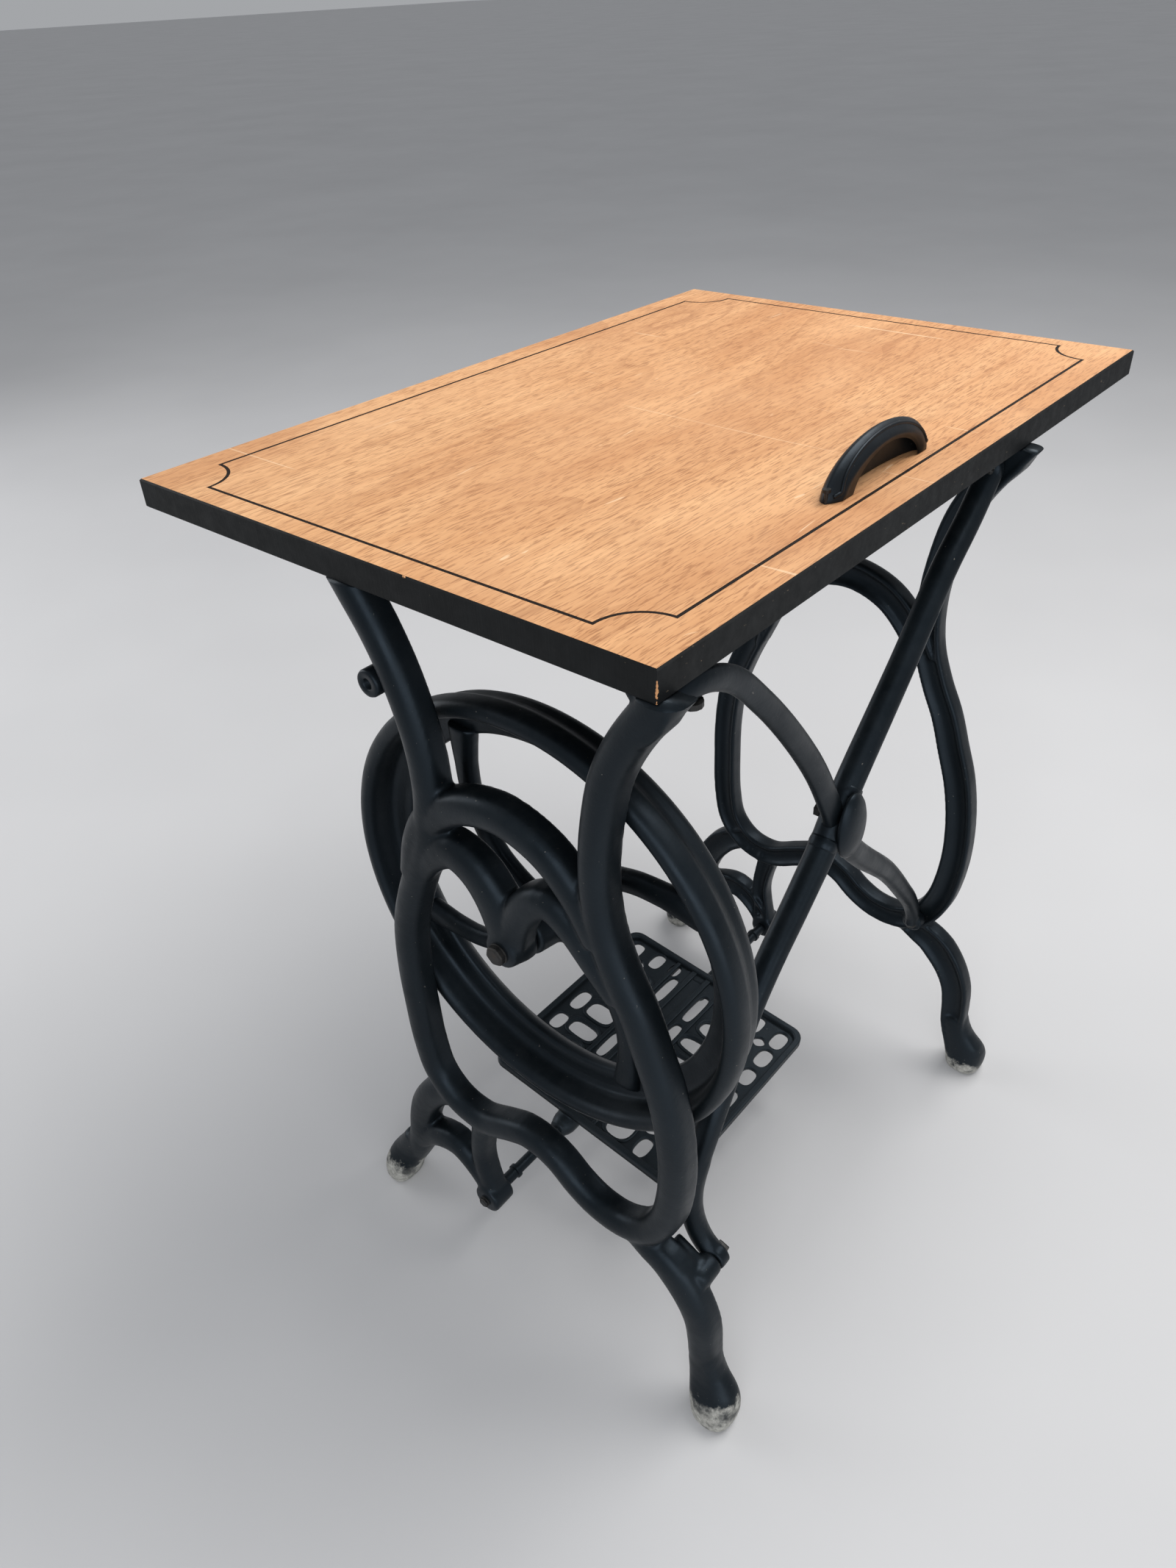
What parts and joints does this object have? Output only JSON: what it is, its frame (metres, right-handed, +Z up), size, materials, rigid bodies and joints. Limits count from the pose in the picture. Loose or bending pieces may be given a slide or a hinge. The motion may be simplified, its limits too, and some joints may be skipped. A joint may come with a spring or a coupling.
{
  "type": "treadle sewing table",
  "caption": "Wooden table top with an inlaid line and a cup pull on two cast end frames, with an X brace, a band wheel on a stud and a fretwork treadle.",
  "frame": {"origin": "floor point under the middle of the bounding box", "axes": "+X towards the band-wheel end, +Y towards the long side with the pull, away from the sitter, +Z up"},
  "size_m": [0.757, 0.5852, 0.7763],
  "materials": {
    "top_wood": "worn varnish on pale straight-grained wood with dark edges",
    "inlay_wood": "dark stringing, worn",
    "pull_paint": "satin black",
    "cast_paint": "worn satin black paint on rough castings",
    "wheel_paint": "worn satin black paint",
    "fixings": "dark oxidised steel"
  },
  "bodies": {
    "table": {"drive_end_frame": "cast_paint", "plain_end_frame": "cast_paint", "brace_bar_straight": "cast_paint", "brace_bar_curved": "cast_paint", "brace_medallion": "cast_paint", "table_top": "top_wood", "inlay_line": "inlay_wood", "top_pull": "pull_paint", "pull_screw_left": "fixings", "pull_screw_right": "fixings", "top_screw_drive_back": "fixings", "top_screw_drive_front": "fixings", "top_screw_plain_back": "fixings", "top_screw_plain_front": "fixings", "brace_cross_bolt": "fixings", "brace_screw_drive_top": "fixings", "brace_bolt_drive_foot": "fixings", "brace_bolt_plain_top": "fixings", "brace_bolt_plain_foot": "fixings", "wheel_washer": "fixings", "wheel_stud": "fixings", "wheel_nut": "fixings", "treadle_rod": "fixings", "rod_screw_drive": "fixings", "rod_screw_plain": "fixings"},
    "band_wheel": {"band_wheel": "wheel_paint", "wheel_bush": "fixings"},
    "treadle": {"treadle_pedal": "cast_paint"}
  },
  "joints": [
    {"name": "wheel_spin", "type": "hinge", "parent": "table", "child": "band_wheel", "pos_m": [0.3115, 0.06285, 0.4435], "axis": [1, 0, 0], "continuous": true},
    {"name": "treadle_rock", "type": "hinge", "parent": "table", "child": "treadle", "pos_m": [0.1215, 0.00185, 0.073], "axis": [1, 0, 0], "range_deg": [-12, 12]}
  ]
}
